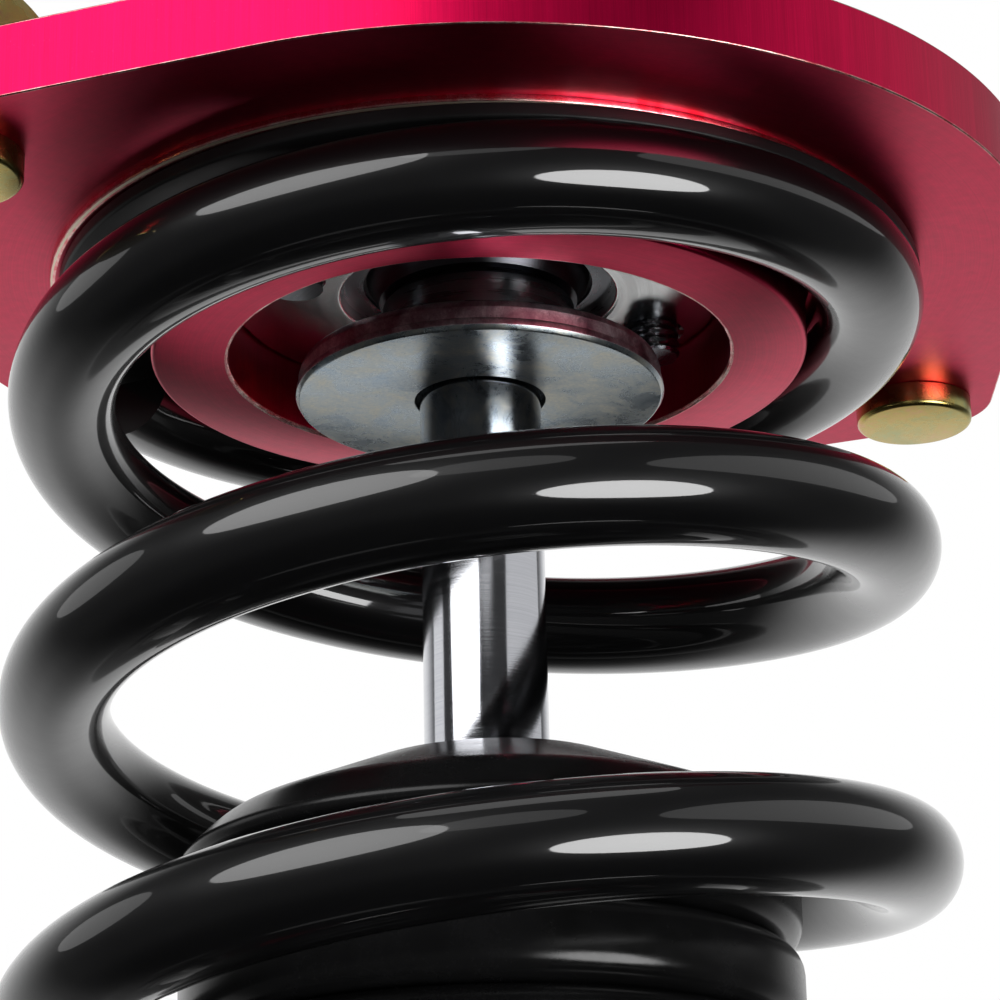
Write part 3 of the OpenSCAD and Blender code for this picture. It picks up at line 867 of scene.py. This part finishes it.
def bump_stop():
    """Three waisted lobes of cellular foam around the rod."""
    bottom, top = low("bump_stop"), high("bump_stop")
    lobes, waist_r, lobe_r = 3, 15, 17.9
    lobe = (top - bottom) / lobes
    outer = []
    for i in range(lobes):
        z = bottom + i * lobe
        outer += [(waist_r, z + 0.2, 0.8), (lobe_r, z + 3.2, 2.2),
                  (lobe_r, z + lobe - 3.2, 2.2), (waist_r, z + lobe - 0.2, 0.8)]
    stop = lathe("bump_stop_detail", outer + [(6.8, top, 0.6), (6.8, bottom, 0.6)], 128)
    add(stop, "damper", "bump_stop")


def damper_body():
    """Gland nut with pin holes, wiper, and the threaded tube with its plain bore."""
    tube_top, tube_end = high("damper_tube"), low("damper_tube")
    gland, gland_low = high("gland_nut"), low("gland_nut")
    bore, plug = ROD_R + 0.05, TUBE_BORE_R - 0.05
    nut = lathe("gland_nut_detail", [
        (bore, gland_low, 0.3), (plug, gland_low, 0.3), (plug, tube_top), (25, tube_top, 0.2),
        (25, gland, 0.8), (10.02, gland, 0.3), (10.02, gland - 4), (bore, gland - 4)], 144)
    pins = [lathe("pin", [(0, gland - 4), (2.5, gland - 4), (2.5, gland - 0.3), (2.9, gland + 0.1),
                          (2.9, gland + 1), (0, gland + 1)], 32, place=place)
            for place in turned(4, 17.5)]
    add(carve(nut, pins), "damper", "gland_nut")
    wiper = lathe("wiper_seal_detail", [
        (6.6, gland - 3.9), (9.95, gland - 3.9, 0.3), (9.95, gland - 0.2, 0.4), (7.9, gland - 0.2, 0.4),
        (7.3, gland - 1.2, 0.3), (6.8, gland - 0.02, 0.15), (6.28, gland - 0.5, 0.1)], 120)
    add(wiper, "damper", "wiper_seal")

    bm = bmesh.new()
    thread(bm, TUBE_R, TUBE_R - 0.75, THREAD_PITCH, tube_end, tube_top, 120)
    tube = make_object("damper_tube_detail", bm)
    hollow = lathe("bore", [
        (0, tube_end - 1), (TUBE_BORE_R, tube_end - 1), (TUBE_BORE_R, tube_top + 1),
        (0, tube_top + 1)], 144)
    add(carve(tube, [hollow]), "damper", "damper_tube")


# ---------------------------------------------------------------- spring seat and lock rings


def notched_ring(name, corners, notches, width, depth_r, z0, z1):
    """A turned ring with open notches for a hook spanner, cut from z0 to z1 and in to depth_r."""
    ring = lathe(name, corners, 192)
    half, clear = width / 2, depth_r + 30
    shape = fillet([(depth_r, -half, 0.9), (clear, -half), (clear, half), (depth_r, half, 0.9)])
    cutters = [block("notch", shape, z0, z1, Matrix.Rotation(2 * math.pi * i / notches, 4, "Z"))
               for i in range(notches)]
    return soften(carve(ring, cutters), 0.28)


def spring_seat():
    """Slip ring under the spring, the perch that carries it, and the two lock rings."""
    bottom, top = low("lower_slip_ring"), high("lower_slip_ring")
    slip = lathe("lower_slip_ring_detail", [
        (34.65, bottom, 0.3), (45.6, bottom), (46, bottom + 0.4), (46, top - 0.7, 0.2), (45.3, top),
        (34.65, top, 0.4)], 160)
    add(slip, "spring_seat", "lower_slip_ring")

    bore = 25.15
    end, flange_top, flange_low = low("lower_perch"), bottom, bottom - 5
    spigot = high("lower_perch")
    perch = notched_ring("lower_perch_detail", [
        (bore, end, 0.8), (38, end, 0.8), (38, flange_low - 0.8, 0.4), (38.8, flange_low),
        (46, flange_low, 0.8), (46, flange_top, 0.8), (34.25, flange_top, 0.2),
        (34.25, spigot - 0.9), (33.3, spigot, 0.3), (26.2, spigot), (bore, spigot - 1)],
        8, 8, 34.5, end - 1, end + 10)
    add(perch, "perch", "lower_perch")

    for node, body in (("perch_lock_ring", "perch_lock"), ("bracket_lock_ring", "bracket")):
        z0, z1 = low(node), high(node)
        outer = reach(node)
        ring = notched_ring(node + "_detail", [
            (25.9, z0), (outer, z0, 0.9), (outer, z1, 0.9), (25.9, z1), (bore, z1 - 0.8),
            (bore, z0 + 0.8)], 8, 7, outer - 3.2, z0 - 1, z1 + 1)
        add(ring, body, node)


# ---------------------------------------------------------------- lower mount


def lower_mount():
    """Threaded cup that blends into a bushed eye."""
    cup_top, eye_low = high("lower_bracket"), low("lower_bracket")
    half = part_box("lower_bracket")[1].y / MM
    cup_r, eye_r, floor = half, EYE_Z - eye_low, cup_top - CUP_DEPTH
    eye_half, neck_half, bore = 16, 14, 17.05
    side = Matrix.Translation((0, 0, EYE_Z)) @ Matrix.Rotation(math.pi / 2, 4, "X")
    bracket = lathe("lower_bracket_detail", [
        (0, floor - 8), (27.5, floor - 8), (cup_r, floor - 3.5, 2), (cup_r, cup_top, 1.2),
        (0, cup_top)], 160)
    eye = lathe("eye", [
        (0, -eye_half), (eye_r, -eye_half, 1.2), (eye_r, eye_half, 1.2), (0, eye_half)],
        128, place=side)
    neck = block("neck", fillet([
        (-26, floor - 7 - EYE_Z), (26, floor - 7 - EYE_Z), (23.5, floor - 14 - EYE_Z, 6),
        (eye_r - 0.05, 0), (-eye_r + 0.05, 0), (-23.5, floor - 14 - EYE_Z, 6)]),
        -neck_half, neck_half, side)
    carve(bracket, [eye, neck], "UNION")
    cup = lathe("cup", [
        (0, floor), (25.1, floor), (25.1, cup_top - 1), (26.2, cup_top), (26.2, cup_top + 1),
        (0, cup_top + 1)], 144)
    hole = lathe("hole", [
        (0, -eye_half - 1), (18, -eye_half - 1), (18, -eye_half), (bore, -eye_half + 0.8),
        (bore, eye_half - 0.8), (18, eye_half), (18, eye_half + 1), (0, eye_half + 1)],
        128, place=side)
    soften(carve(bracket, [cup, hole]), 0.7, 3)
    add(bracket, "bracket", "lower_bracket")

    rubber_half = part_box("eye_rubber")[1].y / MM
    rubber = lathe("eye_rubber_detail", [
        (10.05, -rubber_half), (12.2, -rubber_half, 0.8), (13.2, -rubber_half + 1.6, 0.8),
        (15.4, -rubber_half + 1.6, 0.6), (16.98, -rubber_half + 0.4, 0.5),
        (16.98, rubber_half - 0.4, 0.5), (15.4, rubber_half - 1.6, 0.6),
        (13.2, rubber_half - 1.6, 0.8), (12.2, rubber_half, 0.8), (10.05, rubber_half)],
        112, place=side)
    add(rubber, "bracket", "eye_rubber")
    sleeve_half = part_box("eye_sleeve")[1].y / MM
    sleeve = lathe("eye_sleeve_detail", [
        (6.1, -sleeve_half + 0.5), (6.6, -sleeve_half), (9.5, -sleeve_half), (10, -sleeve_half + 0.5),
        (10, sleeve_half - 0.5), (9.5, sleeve_half), (6.6, sleeve_half), (6.1, sleeve_half - 0.5)],
        96, place=side)
    add(sleeve, "eye", "eye_sleeve")


top_plate()
bearing()
cap_screws()
studs_and_nuts()
seat_ring()
rod_stack()
piston_rod()
coil_spring()
adjuster()
dust_boot()
bump_stop()
damper_body()
spring_seat()
lower_mount()

# The CAD pieces that stay in view take the same materials.
for part in frame["record"]["subparts"]:
    shown = frame["nodes"][part["node"]]
    shown.data.materials.clear()
    shown.data.materials.append(LOOKS[part["material_slot"]])


# ---------------------------------------------------------------- stage, light and camera


VIEW_SIDE = -124.8      # azimuth from the object to the camera, in degrees
FOCUS = Vector((0, 0, -0.04))       # what the lamps are aimed at, in metres


def floor_material():
    """Matt pale paint."""
    s = Shader("studio_floor")
    cloud = s.noise(14, 4, 0.6)
    grain = s.noise(900, 2, 0.6)
    s.bump(grain, 0.05, 0.1)
    return s.finish(Base_Color=s.mix(cloud, (0.80, 0.80, 0.80), (0.86, 0.86, 0.86)), Roughness=0.6)


def stage():
    """A wide flat floor under the part, which doesn't show in reflections."""
    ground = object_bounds()[0].z
    bm = bmesh.new()
    bmesh.ops.create_grid(bm, x_segments=12, y_segments=12, size=3.0)
    for vert in bm.verts:
        vert.co.z = ground - FLOOR_GAP
    floor = make_object("floor", bm)
    floor.data.materials.append(floor_material())
    floor.visible_glossy = False
    floor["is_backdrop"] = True
    return floor


def softbox(name, azimuth, elevation, distance, width, height, radiance):
    """An oval area light aimed at the top mount, placed by direction in degrees."""
    a, e = math.radians(VIEW_SIDE + azimuth), math.radians(elevation)
    away = Vector((math.cos(a) * math.cos(e), math.sin(a) * math.cos(e), math.sin(e)))
    data = bpy.data.lights.new(name, "AREA")
    data.shape = "ELLIPSE"
    data.size, data.size_y = width, height
    data.energy = math.pi * math.pi / 4 * width * height * radiance
    lamp = bpy.data.objects.new(name, data)
    lamp.location = FOCUS + away * distance
    lamp.rotation_euler = away.to_track_quat("Z", "Y").to_euler()
    lamp.visible_camera = False
    bpy.context.scene.collection.objects.link(lamp)
    return lamp


def surroundings(background, backdrop, dim):
    """White to the camera; to light and reflections, a pale backdrop behind the object and a
    dim room elsewhere."""
    world = bpy.data.worlds.new("studio")
    bpy.context.scene.world = world
    world.use_nodes = True
    tree = world.node_tree
    tree.nodes.clear()

    def node(kind, **settings):
        made = tree.nodes.new(kind)
        for key, value in settings.items():
            setattr(made, key, value)
        return made

    def soft_step(value, low, high, to_low, to_high):
        made = node("ShaderNodeMapRange", interpolation_type="SMOOTHSTEP")
        tree.links.new(value, made.inputs["Value"])
        limits = {"From Min": low, "From Max": high, "To Min": to_low, "To Max": to_high}
        for key, number in limits.items():
            made.inputs[key].default_value = number
        return made.outputs["Result"]

    where = node("ShaderNodeTexCoord").outputs["Generated"]
    behind = node("ShaderNodeVectorMath", operation="DOT_PRODUCT")
    tree.links.new(where, behind.inputs[0])
    side = math.radians(VIEW_SIDE + 186)        # the backdrop's middle is a little off centre
    behind.inputs[1].default_value = (math.cos(side), math.sin(side), 0)
    split = node("ShaderNodeSeparateXYZ")
    tree.links.new(where, split.inputs[0])
    back = soft_step(behind.outputs["Value"], 0.35, 0.90, dim, backdrop)
    above = soft_step(split.outputs["Z"], -0.80, -0.42, 0.12, 1.0)
    product = node("ShaderNodeMath", operation="MULTIPLY")
    tree.links.new(back, product.inputs[0])
    tree.links.new(above, product.inputs[1])
    seen, lit = node("ShaderNodeBackground"), node("ShaderNodeBackground")
    seen.inputs["Strength"].default_value = background
    for shade in (seen, lit):
        shade.inputs["Color"].default_value = (1, 1, 1, 1)
    tree.links.new(product.outputs[0], lit.inputs["Strength"])
    pick = node("ShaderNodeMixShader")
    tree.links.new(node("ShaderNodeLightPath").outputs["Is Camera Ray"], pick.inputs[0])
    tree.links.new(lit.outputs[0], pick.inputs[1])
    tree.links.new(seen.outputs[0], pick.inputs[2])
    tree.links.new(pick.outputs[0], node("ShaderNodeOutputWorld").inputs["Surface"])


def camera():
    """Stands close below the top mount and looks up at it past the spring."""
    data = bpy.data.cameras.new("camera")
    data.lens, data.sensor_width = 121.3, 36
    data.clip_start, data.clip_end = 0.02, 20
    eye = bpy.data.objects.new("camera", data)
    eye.location = (-0.1830, -0.2663, -0.1514)
    heading, pitch, roll = math.radians(-34.82), math.radians(20.43), math.radians(-1.25)
    eye.matrix_world = Matrix.Translation(eye.location) @ Matrix.Rotation(heading, 4, "Z") \
        @ Matrix.Rotation(math.pi / 2 + pitch, 4, "X") @ Matrix.Rotation(roll, 4, "Z")
    bpy.context.scene.collection.objects.link(eye)
    bpy.context.scene.camera = eye


def keep_off(lamp, thing):
    """Keeps a lamp's light off one thing, as a flag on a stand would."""
    group = bpy.data.collections.new("flagged_off")
    group.objects.link(thing)
    lamp.light_linking.receiver_collection = group
    group.collection_objects[0].light_linking.link_state = "EXCLUDE"


camera()
floor = stage()
surroundings(background=1.0, backdrop=0.95, dim=0.05)
softbox("key_left", -38, 29, 0.9, 0.86, 0.68, 3.6)
low_lamp = softbox("key_low_right", 42, -22, 0.9, 0.66, 0.46, 11.0)
keep_off(low_lamp, floor)
softbox("front", 4, 36, 1.0, 0.6, 0.4, 0.6)
softbox("right_wall", 82, 25, 1.1, 1.7, 0.6, 0.65)
softbox("top", 20, 78, 0.9, 0.7, 0.5, 1.0)
softbox("side_left", -98, 18, 1.1, 0.5, 0.6, 0.9)
bpy.context.scene.view_settings.view_transform = "Standard"
